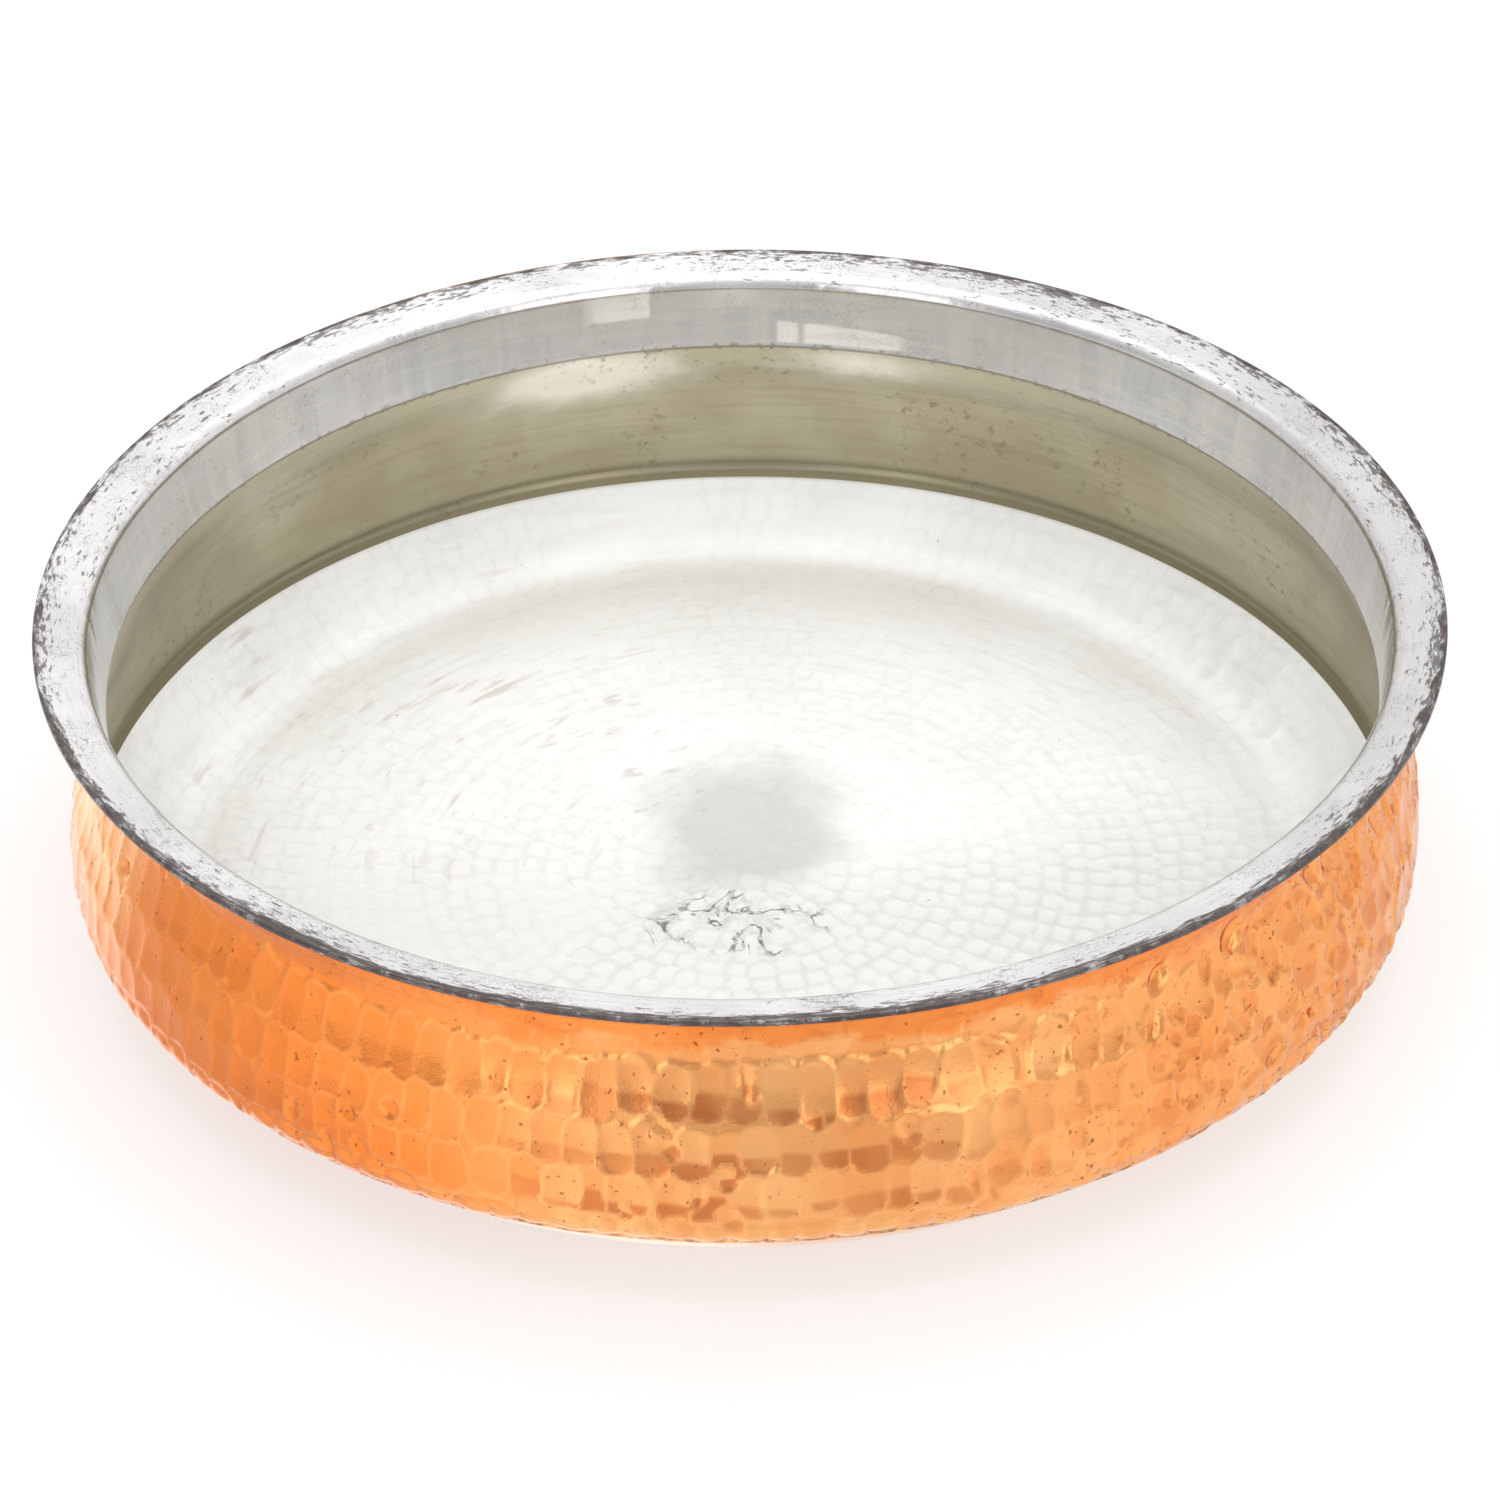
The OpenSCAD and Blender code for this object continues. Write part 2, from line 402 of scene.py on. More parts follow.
def row_on(path, s, count, relief=None, shift=None):
    """One row of points on a face. relief(a, s, r) is the height off it, shift(a) a slide along it."""
    a = azimuths(count)
    s = np.full(count, float(s))
    if shift is not None:
        s = s + shift(a)
    p, n = path.at(s), path.normal(s)
    h = relief(a, s, p[:, 0]) if relief else 0
    return warp(a, p[:, 0] + n[:, 0] * h, p[:, 1] + n[:, 1] * h)


def spaced(lo, hi, step):
    return np.linspace(lo, hi, max(2, round(abs(hi - lo) / step) + 1))


def hidden(path, lo, hi, step=6):
    """Lengths for a face that no one sees: few on the straights, enough round the bends."""
    knots = sorted({lo, hi, *(s for s in path.s[1:-1][::5] if min(lo, hi) + 0.4 < s < max(lo, hi) - 0.4)})
    out = [knots[0]]
    for a, b in zip(knots, knots[1:]):
        out += list(np.linspace(a, b, max(1, math.ceil((b - a) / step)) + 1)[1:])
    return out if lo < hi else out[::-1]


def hidden_rows(path, lo, hi):
    """Plain rows for a hidden face: quarter as many points, half as many at its two ends."""
    at = hidden(path, lo, hi)
    return [row_on(path, s, N // 2 if i in (0, len(at) - 1) else N // 4) for i, s in enumerate(at)]


def ring_count(r, full):
    """Points round a ring near the axis: half as many each time the radius halves."""
    count = full
    while count % 2 == 0 and r < LIP_R / 2 * count / full:
        count //= 2
    return count


def outer_relief(a, s, r):
    return wall.sample(a * BELLY_R, s) * step_between(s, OUT.height(11), OUT.height(15.5))


def under_relief(a, s, r):
    flat = 1 - step_between(s, OUT.height(2), OUT.height(9))
    return np.minimum(under.sample(r * np.sin(a), -r * np.cos(a)), 0) * flat + outer_relief(a, s, r)


def floor_relief(a, s, r):
    flat = 1 - 0.9 * step_between(r, 151, 158)
    return np.clip(floor.sample(r * np.sin(a), -r * np.cos(a)) + 0.02, -0.20, 0.25) * flat


def wall_relief(a, s, r):
    return waves(a, 5, (11, 17, 23, 31), 0.03)


def neck_relief(a, s, r):
    turn_start, turn_end = TIN.height(NECK_TOP), TIN.height(LIP_LOW)
    on = step_between(s, tin_up, tin_up + 1.5) * (1 - step_between(s, turn_start, turn_end))
    lip = step_between(s, turn_end, TIN.end)
    return neck.sample(a * COLLAR_R, s) * on + waves(a, 6, (13, 19, 29, 37), 0.035) * lip


def seam_slide(a):
    return -2.0 + waves(a, 8, (5, 9, 16, 27, 41), 0.16)


def crease_slide(a):
    return waves(a, 9, (6, 11, 19, 34, 52), 0.20)


def polar_rows(path, s_values, full, relief, slide=None, end=None):
    """A pole and the rings round it. slide moves the last 6 mm of the face with the seam at end."""
    rows = [warp(np.zeros(1), *path.at(np.zeros(1)).T)]
    for s in s_values:
        r = path.at(s)[0]
        shift = None
        if slide is not None and s > end - 6:
            fade = float(step_between(s, end - 6, end))
            shift = (lambda a, f=fade: slide(a) * f)
        rows.append(row_on(path, s, ring_count(r, full), relief, shift))
    return rows


# Copper pan: hammered underside and heel
rows = polar_rows(OUT, spaced(2.5, OUT.height(3), 2.2), N // 2, under_relief)
rows += [row_on(OUT, s, N, under_relief) for s in spaced(OUT.height(3) + 0.9, low_out, 0.85)]
inner = polar_rows(SHEET_IN, hidden(SHEET_IN, 4, low_in, 4)[:-1], N // 4, None)
inner.append(row_on(SHEET_IN, low_in, N // 2))
base_pan = mesh_of("copper_base_pan", rows + inner[::-1], False)

# Copper belly
rows = [row_on(OUT, s, N, outer_relief) for s in spaced(low_out, up_out, 0.80)]
rows += hidden_rows(SHEET_IN, up_in, low_in)
belly = mesh_of("copper_belly_wall", rows, True)

# Copper collar, with the edge of the lip
rows = [row_on(OUT, s, N, outer_relief) for s in spaced(up_out, OUT.height(73), 0.8)]
rows += [row_on(OUT, s, N) for s in spaced(OUT.height(73) + 0.8, OUT.end - 0.35, 1.0)]
rows += [warp(azimuths(N), np.full(N, LIP_R - EDGE_IN), np.full(N, z))
         for z in (lip_under + 0.30, lip_under + 0.9, HEIGHT - 0.42)]
rows += hidden_rows(SHEET_IN, SHEET_IN.end - 1.0, up_in)
collar = mesh_of("copper_neck_collar", rows, True)

# Tin coats
rows = polar_rows(SHEET_IN, hidden(SHEET_IN, 5, low_in, 5), N_FLOOR // 2, None, seam_slide, low_in)
top_rows = polar_rows(TIN, spaced(1.5, tin_low, 1.35), N_FLOOR, floor_relief, seam_slide, tin_low)
floor_tin = mesh_of("tin_floor", rows + top_rows[::-1], False)


def edge_rows(path, stations, count, relief, slides):
    """Rows whose two ends slide along the face with the seams there."""
    rows = []
    for s in stations:
        near = [(slide, 1 - float(step_between(abs(s - at), 0, 4))) for slide, at in slides]
        rows.append(row_on(path, s, count, relief, lambda a, n=near: sum(f(a) * w for f, w in n)))
    return rows


rows = edge_rows(SHEET_IN, hidden(SHEET_IN, low_in, up_in), N_WALL, None,
                 [(seam_slide, low_in), (crease_slide, up_in)])
rows += edge_rows(TIN, spaced(tin_up, tin_low, 1.0), N_WALL, wall_relief,
                  [(seam_slide, tin_low), (crease_slide, tin_up)])
wall_tin = mesh_of("tin_wall", rows, True)

# the tin turns over the edge of the lip and down most of its thickness
rows = edge_rows(SHEET_IN, hidden(SHEET_IN, up_in, SHEET_IN.end - 0.5), N // 2, None,
                 [(crease_slide, up_in)])
a = azimuths(N)
drop = 1.30 + waves(a, 12, (7, 13, 22, 37, 61), 0.13)
rows += [warp(a, np.full(N, LIP_R - EDGE_IN), HEIGHT - drop * f) for f in (0.3, 0.97)]
rows.append(warp(a, np.full(N, LIP_R + 0.05), HEIGHT - drop))
rows.append(warp(a, np.full(N, LIP_R + TIN_PROUD), HEIGHT - drop * 0.6))
for t in np.linspace(0, math.pi / 2, 5):
    rr = LIP_R + TIN_PROUD - EDGE_ROUND * (1 - math.cos(t))
    zz = HEIGHT - TIN_PROUD - EDGE_ROUND * (1 - math.sin(t))
    rows.append(warp(a, np.full(N, rr), np.full(N, zz)))
rows += edge_rows(TIN, spaced(TIN.end - 0.8, tin_up, 0.62), N, neck_relief, [(crease_slide, tin_up)])
lip_tin = mesh_of("tin_neck_and_lip", rows, True)


# Brass filler, just below the surface of the sheet
BRAZE_HALF = 0.15
BELOW_IN, BELOW_OUT = 0.04, 1.25        # how far its ends stay in from the two faces


def seam_ring(name, seam_in, seam_out):
    along = (seam_out - seam_in) / np.linalg.norm(seam_out - seam_in)
    across = inward(along)
    a = azimuths(N_BRASS)
    lo, hi = seam_in + along * BELOW_IN, seam_out - along * BELOW_OUT
    side = across * BRAZE_HALF
    loop = [lo - side, hi - side, hi + side, lo + side]
    fine = []
    for i, p in enumerate(loop):
        q = loop[(i + 1) % 4]
        for t in np.linspace(0, 1, 4 if i % 2 == 0 else 2, endpoint=False):
            fine.append(p + (q - p) * t)
    rows = [warp(a, np.full(N_BRASS, p[0]), np.full(N_BRASS, p[1])) for p in fine]
    return mesh_of(name, rows, True)


low_seam = seam_ring("brass_lower_seam", LOW_IN, LOW_OUT)
up_seam = seam_ring("brass_upper_seam", UP_IN, UP_OUT)


# ---------------------------------------------------------------- marks for the materials
def set_attribute(ob, name, value_of):
    """A number at every point: value_of(azimuth, radius, height) of the true form in mm."""
    me = ob.data
    co = np.empty(len(me.vertices) * 3, np.float32)
    me.vertices.foreach_get("co", co)
    co = co.reshape(-1, 3)
    true = np.empty((2, len(co)), np.float32)
    me.attributes["true_r"].data.foreach_get("value", true[0])
    me.attributes["true_z"].data.foreach_get("value", true[1])
    values = value_of(np.arctan2(co[:, 0], -co[:, 1]), true[0] / MM, true[1] / MM)
    me.attributes.new(name, "FLOAT", "POINT").data.foreach_set("value", values.astype(np.float32))


def ridge_value(a, r, z):
    return wall.sample(a * BELLY_R, OUT.height(z), wall_ridge) * step_between(z, 13, 16)


def lower_value(a, r, z):
    return wall.sample(a * BELLY_R, OUT.height(z), wall.lower)


def tone_value(a, r, z):
    return wall.sample(a * BELLY_R, OUT.height(z), wall.tone)


# the neck's tone: random facet tones, raised to the painted highlights
def neck_tone_and_highlight(a, r, z):
    return np.maximum(neck.sample(a * COLLAR_R, TIN.height(z), neck.tone), painted_neck_highlight(a, z))


def painted_neck_highlight(a, z):
    """Painted highlights on the back of the neck, standing for bright reflections: a high band, one along
    the crease, a faint wash.
    """
    turned = np.degrees(a) % 360
    wavy = z + waves(a, 14, (31, 53, 83), 0.45)
    high = step_between(turned, 188.4, 189.0) * (1 - step_between(turned, 192.5, 198.5))
    high = high * step_between(wavy, 69.2, 71.4) * (1 - step_between(wavy, 78.0, 79.8))
    low_top = 67.2 + (turned - 162) * 0.15
    low = step_between(turned, 161.0, 165.0) * (1 - step_between(turned, 176.0, 176.6))
    low = low * (1 - 0.55 * bump_at(a, 173.8, 0.45)) * step_between(wavy, 62.0, 63.0)
    low = low * (1 - step_between(wavy, low_top - 1.0, low_top + 0.2))
    wash = 0.62 * bump_at(a, 181, 8) * step_between(wavy, 69, 73)
    return np.maximum(np.maximum(high, low), wash)


def floor_ridge_value(a, r, z):
    return floor.sample(r * np.sin(a), -r * np.cos(a), floor_ridge)


floor_ridge = floor.ridges(0.03)
for ob in (base_pan, belly, collar):
    set_attribute(ob, "ridge", ridge_value)
    set_attribute(ob, "lower", lower_value)
    set_attribute(ob, "tone", tone_value)
# the lip tin's tone holds the painted neck highlights as well as its random facet tones
set_attribute(lip_tin, "tone", neck_tone_and_highlight)


def painted_wall_reflection(a, r, z):
    """Painted reflections on the wall: bright patches just under the crease."""
    left = 1.15 * bump_at(a, -164.5, 9.5) * np.exp(-((z - 54) / 8.5) ** 2)
    right = 0.72 * bump_at(a, 168, 8) * np.exp(-((z - 56) / 5.5) ** 2)
    return left + right + 0.35 * bump_at(a, -128, 7) * np.exp(-((z - 52) / 7) ** 2)


set_attribute(wall_tin, "painted_reflection", painted_wall_reflection)
set_attribute(floor_tin, "ridge", floor_ridge_value)


# ---------------------------------------------------------------- node helpers
class Tree:
    """Short names for the nodes that the materials are made of."""

    def __init__(self, name):
        self.mat = bpy.data.materials.new(name)
        self.mat.use_nodes = True
        self.nt = self.mat.node_tree
        self.nt.nodes.clear()
        out = self.nt.nodes.new("ShaderNodeOutputMaterial")
        self.bsdf = self.nt.nodes.new("ShaderNodeBsdfPrincipled")
        self.nt.links.new(self.bsdf.outputs[0], out.inputs["Surface"])
        self.point = self.make("TexCoord").outputs["Object"]
        xyz = self.make("SeparateXYZ", {0: self.point})
        flat = self.make("CombineXYZ", {"X": xyz.outputs[0], "Y": xyz.outputs[1]}).outputs[0]
        self.x = xyz.outputs[0]
        self.y = xyz.outputs[1]
        self.r = self.attr("true_r")
        self.z = self.attr("true_z")
        self.round = self.make("VectorMath", {0: flat}, operation="NORMALIZE").outputs[0]
        parts = self.make("SeparateXYZ", {0: self.round})
        self.side, self.front = parts.outputs[0], parts.outputs[1]

    def make(self, kind, inputs=None, **props):
        n = self.nt.nodes.new("ShaderNode" + kind)
        for k, v in props.items():
            setattr(n, k, v)
        for k, v in (inputs or {}).items():
            self.put(n.inputs[k], v)
        return n

    def put(self, socket, v):
        if isinstance(v, bpy.types.NodeSocket):
            self.nt.links.new(v, socket)
        elif socket.type == "RGBA" and len(v) == 3:
            socket.default_value = (*v, 1)
        else:
            socket.default_value = v

    def math(self, op, a, b=0.0):
        return self.make("Math", {0: a, 1: b}, operation=op).outputs[0]

    def streak(self, around, by_r, by_z):
        """Coordinates that run slowly round the vessel and quickly across it."""
        turn = self.make("VectorMath", {0: self.round, "Scale": around}, operation="SCALE").outputs[0]
        across = self.math("ADD", self.math("MULTIPLY", self.r, by_r), self.math("MULTIPLY", self.z, by_z))
        lift = self.make("CombineXYZ", {"Z": across}).outputs[0]
        return self.make("VectorMath", {0: turn, 1: lift}, operation="ADD").outputs[0]

    def noise(self, scale, detail=3.0, vector=None, rough=0.55, warp=0.0):
        return self.make("TexNoise", {"Vector": vector or self.point, "Scale": scale, "Detail": detail,
                                      "Roughness": rough, "Distortion": warp}).outputs["Fac"]

    def range(self, x, lo, hi, out_lo=0.0, out_hi=1.0):
        return self.make("MapRange", {"Value": x, "From Min": lo, "From Max": hi, "To Min": out_lo,
                                      "To Max": out_hi}, interpolation_type="SMOOTHSTEP").outputs[0]

    def mix(self, fac, a, b):
        n = self.nt.nodes.new("ShaderNodeMix")
        n.data_type = "RGBA"
        self.put(n.inputs[0], fac)
        self.put(n.inputs[6], a)
        self.put(n.inputs[7], b)
        return n.outputs[2]

    def attr(self, name):
        return self.make("Attribute", attribute_name=name).outputs["Fac"]

    def both(self, a, b):
        return self.math("MULTIPLY", a, b)

    def away_from(self, x, y, reach_x, reach_y):
        """Distance from a spot of the floor, 1 on an ellipse round it."""
        east = self.math("DIVIDE", self.math("SUBTRACT", self.x, x), reach_x)
        north = self.math("DIVIDE", self.math("SUBTRACT", self.y, y), reach_y)
        return self.math("SQRT", self.math("ADD", self.both(east, east), self.both(north, north)))

    def veins(self, scale, width, warp):
        """Thin crooked lines."""
        gap = self.math("ABSOLUTE", self.math("SUBTRACT", self.noise(scale, 4, warp=warp), 0.5))
        return self.range(gap, width, width * 0.3)

    def bump(self, height, distance, strength=1.0, below=None):
        n = self.make("Bump", {"Height": height, "Distance": distance, "Strength": strength})
        if below is not None:
            self.nt.links.new(below, n.inputs["Normal"])
        return n.outputs[0]

    def done(self, colour, roughness, normal, metallic=1.0):
        self.put(self.bsdf.inputs["Base Color"], colour)
        self.put(self.bsdf.inputs["Roughness"], roughness)
        self.bsdf.inputs["Metallic"].default_value = metallic
        self.nt.links.new(normal, self.bsdf.inputs["Normal"])
        return self.mat


# ---------------------------------------------------------------- materials
COPPER = (0.93, 0.300, 0.070)
COPPER_DEEP = (0.84, 0.215, 0.036)
# pale copper for painted highlights
COPPER_PALE_HIGHLIGHT = (0.98, 0.49, 0.19)
# dark copper for grime, pits and blotches, and for the painted shade in the lower part of the marks
COPPER_GRIME_AND_SHADE = (0.58, 0.155, 0.045)
COPPER_DARK = (0.22, 0.065, 0.02)


def copper(name, hammered):
    t = Tree(name)
    cloud = t.range(t.noise(26, 3), 0.35, 0.68)
    mottle = t.range(t.noise(330, 4, warp=0.6), 0.35, 0.7)
    colour = t.mix(t.both(cloud, 0.55), COPPER, COPPER_DEEP)
    colour = t.mix(t.both(mottle, 0.22), colour, COPPER_DEEP)
    # painted highlight: the copper is painted paler below the neck, over the middle and right and at the
    # left edge, a little less at the far right
    pale_highlight = t.math("MAXIMUM", t.range(t.side, -0.50, -0.12), t.range(t.side, -0.84, -0.96))
    pale_highlight = t.both(pale_highlight, t.range(t.noise(40, 3), 0.25, 0.7, 0.60, 1.0))
    pale_highlight = t.both(pale_highlight, t.range(t.side, 0.40, 0.66, 1.0, 0.62))
    ragged = t.math("ADD", t.z, t.range(t.noise(70, 3), 0.3, 0.7, -0.003, 0.003))
    colour = t.mix(t.both(pale_highlight, t.range(ragged, 0.0690, 0.0630)), colour, COPPER_PALE_HIGHLIGHT)
    if hammered:
        # painted shade: deeper copper low on the left side
        lower_left_shade = t.both(t.range(t.side, -0.30, -0.60), t.range(t.z, 0.045, 0.026))
        colour = t.mix(t.both(lower_left_shade, 0.80), colour, COPPER_DEEP)
        tone = t.attr("tone")
        # ridges painted paler, stronger from the front to the right: partly rubbed wear, partly painted
        # highlight
        ridge_wear_and_highlight = t.both(t.attr("ridge"), t.range(t.side, -0.7, -0.1, 0.20, 0.55))
        colour = t.mix(ridge_wear_and_highlight, colour, COPPER_PALE_HIGHLIGHT)
        colour = t.mix(t.range(tone, 0, 1, 0, 0.30), colour, COPPER_DEEP)
        # painted shade: the lower part of each mark is painted dark, strongest near the front, standing
        # for the dark that the marks reflect there; ridges are spared
        under = t.range(t.math("ADD", t.attr("lower"), t.both(tone, 0.34)), 0.72, 0.84)
        under = t.both(under, t.range(t.z, 0.0625, 0.0590))
        under = t.both(under, t.range(t.z, 0.0205, 0.0250, 0.35, 1.0))
        near_front = t.both(t.range(t.front, -0.925, -0.985),
                            t.range(t.noise(45, 2), 0.35, 0.6, 0.38, 0.78))
        lower_shade_share = t.math("MAXIMUM", near_front, t.range(t.noise(22, 2), 0.38, 0.60, 0.05, 0.34))
        lower_shade_share = t.both(lower_shade_share, t.math("SUBTRACT", 1.0, t.both(t.attr("ridge"), 0.8)))
        colour = t.mix(t.both(under, lower_shade_share), colour, COPPER_GRIME_AND_SHADE)
        pits = t.both(t.range(t.noise(260, 4), 0.58, 0.66), t.range(t.side, 0.25, 0.65, 0.12, 0.50))
        colour = t.mix(pits, colour, COPPER_GRIME_AND_SHADE)
    else:
        lines = t.range(t.noise(1.0, 3, t.streak(7, 300, 900)), 0.45, 0.75)
        colour = t.mix(t.both(lines, 0.22), colour, COPPER_DEEP)
        blotch = t.range(t.noise(120, 4, warp=0.8), 0.50, 0.66)
        colour = t.mix(t.both(blotch, 0.35), colour, COPPER_GRIME_AND_SHADE)
    specks = t.both(t.range(t.noise(620, 2), 0.655, 0.71), t.range(t.noise(55, 2), 0.38, 0.58))
    colour = t.mix(t.both(specks, 0.62), colour, COPPER_DARK)
    heel = t.both(t.range(t.z, 0.0150, 0.0172), t.range(t.z, 0.0198, 0.0180))
    crumbs = t.both(heel, t.range(t.noise(520, 3), 0.5, 0.66))
    colour = t.mix(t.both(crumbs, 0.5), colour, COPPER_DARK)
    rough = t.math("ADD", 0.15, t.both(t.noise(140, 4), 0.16))
    rough = t.math("ADD", rough, t.both(specks, 0.3))
    normal = t.bump(t.noise(1700, 3), 0.00006, 0.5)
    normal = t.bump(t.noise(420, 2), 0.00018, 0.35, normal)
    normal = t.bump(t.math("SUBTRACT", 1.0, specks), 0.0001, 0.6, normal)
    return t.done(colour, rough, normal)


def floor_material():
    t = Tree("planished_tin")
    cloud = t.range(t.noise(18, 4), 0.38, 0.66)
    colour = t.mix(cloud, (0.955, 0.955, 0.945), (0.90, 0.895, 0.875))
    fine = t.range(t.noise(1.0, 4, t.streak(9, 420, 0)), 0.45, 0.75)
    colour = t.mix(t.both(fine, 0.25), colour, (0.68, 0.64, 0.60))
    stain = t.both(t.range(t.noise(1.0, 4, t.streak(4.5, 240, 0), warp=0.4), 0.60, 0.70),
                   t.range(t.side, 0.05, -0.45))
    colour = t.mix(t.both(stain, 0.42), colour, (0.52, 0.43, 0.38))
    # painted shade: the near part of the floor is painted greyer
    near_side_shade = t.range(t.y, 0.045, -0.030)
    colour = t.mix(t.both(near_side_shade, 0.85), colour, (0.74, 0.735, 0.715))
    colour = t.mix(t.range(t.y, 0.08, 0.14, 0.0, 0.55), colour, (0.82, 0.81, 0.79))
    # painted shade: the planishing ridges are painted darker, more on the near side
    ridge_shade = t.both(t.range(t.noise(16, 2), 0.34, 0.58, 0.08, 0.34),
                    t.range(near_side_shade, 0, 1, 0.40, 1.0))
    colour = t.mix(t.both(t.attr("ridge"), ridge_shade), colour, (0.50, 0.49, 0.47))
    # painted reflection: a dark grey patch near the middle of the floor
    away = t.math("ADD", t.away_from(0.0005, 0.018, 0.029, 0.034),
                  t.range(t.noise(40, 2), 0.3, 0.7, -0.15, 0.15))
    painted_dark_reflection = t.range(away, 1.15, 0.45)
    colour = t.mix(t.both(painted_dark_reflection, 0.55), colour, (0.42, 0.43, 0.395))
    off = t.away_from(-0.001, -0.022, 0.024, 0.014)
    near = t.range(t.math("ADD", off, t.range(t.noise(90, 2), 0.3, 0.7, -0.3, 0.3)), 1.1, 0.6)
    smudge = t.both(t.range(t.noise(150, 4, warp=1.0), 0.50, 0.62), near)
    colour = t.mix(t.both(smudge, 0.25), colour, (0.30, 0.29, 0.28))
    broken = t.range(t.noise(300, 3), 0.40, 0.56, 0.35, 1.0)
    cracks = t.both(t.both(t.veins(70, 0.030, 0.9), near), broken)
    colour = t.mix(t.both(cracks, 0.85), colour, (0.08, 0.075, 0.075))
    specks = t.both(t.range(t.noise(640, 2), 0.72, 0.78), t.range(t.noise(30, 1), 0.5, 0.6))
    colour = t.mix(t.both(specks, 0.7), colour, (0.22, 0.20, 0.18))
    rough = t.math("ADD", 0.42, t.both(t.noise(70, 4), 0.20))
    normal = t.bump(t.noise(900, 3), 0.00008, 0.5)
    normal = t.bump(t.noise(1.0, 3, t.streak(9, 420, 0)), 0.00006, 0.5, normal)
    return t.done(colour, rough, normal, 0.38)


def wall_material():
    t = Tree("satin_tin")
    cloud = t.range(t.noise(22, 3), 0.36, 0.66)
    colour = t.mix(cloud, (0.54, 0.50, 0.37), (0.45, 0.40, 0.28))
    lines = t.range(t.noise(1.0, 4, t.streak(5, 0, 520)), 0.42, 0.72)
    colour = t.mix(t.both(lines, 0.35), colour, (0.34, 0.29, 0.20))
    # painted shade: a dark band along the heel's bend, at the foot of the wall
    heel_crease_shade = t.both(t.range(t.z, 0.0192, 0.0202), t.range(t.z, 0.0232, 0.0212))
    colour = t.mix(t.both(heel_crease_shade, 0.45), colour, (0.22, 0.19, 0.13))
    # painted shade: the foot of the wall, down on the heel, is painted dark olive
    low = t.range(t.z, 0.0200, 0.0190)
    colour = t.mix(low, colour, (0.26, 0.235, 0.145))
    # painted shade: the wall is painted darker towards the bottom
    uneven = t.range(t.noise(30, 3), 0.3, 0.7, -0.006, 0.006)
    deep = t.range(t.math("ADD", t.z, uneven), 0.044, 0.024)
    colour = t.mix(t.both(deep, 0.46), colour, (0.27, 0.24, 0.155))
    # painted reflection: the wall is painted paler towards the crease at its top
    top = t.range(t.z, 0.050, 0.058)
    colour = t.mix(t.both(top, 0.30), colour, (0.70, 0.66, 0.50))
    # painted reflection: cream patches under the crease
    uneven = t.range(t.noise(120, 3), 0.3, 0.7, -0.08, 0.08)
    painted_reflection = t.range(t.math("ADD", t.attr("painted_reflection"), uneven), 0.08, 0.90)
    colour = t.mix(painted_reflection, colour, (0.93, 0.90, 0.80))
    # painted shade: a dark line along the crease under the neck, with dark specks beside it
    crease_shade_and_specks = t.math("MAXIMUM", t.range(t.z, 0.0608, 0.0614),
                    t.both(t.range(t.z, 0.0598, 0.0612), t.range(t.noise(420, 4), 0.56, 0.60)))
    colour = t.mix(t.both(crease_shade_and_specks, 0.60), colour, (0.12, 0.10, 0.08))
    stains = t.both(t.range(t.noise(380, 5, rough=0.7), 0.56, 0.64), t.range(t.noise(26, 2), 0.48, 0.60))
    colour = t.mix(t.both(stains, 0.45), colour, (0.17, 0.14, 0.09))
    specks = t.both(t.range(t.noise(700, 2), 0.71, 0.77), t.range(t.noise(40, 1), 0.45, 0.6))
    colour = t.mix(t.both(specks, 0.7), colour, (0.14, 0.12, 0.10))
    rough = t.math("ADD", 0.24, t.both(t.noise(1.0, 3, t.streak(6, 0, 300)), 0.16))
    rough = t.math("ADD", rough, t.both(low, 0.25))
    normal = t.bump(t.noise(1.0, 4, t.streak(5, 0, 520)), 0.00008, 0.4)
    normal = t.bump(t.noise(1100, 2), 0.00005, 0.4, normal)
    return t.done(colour, rough, normal)


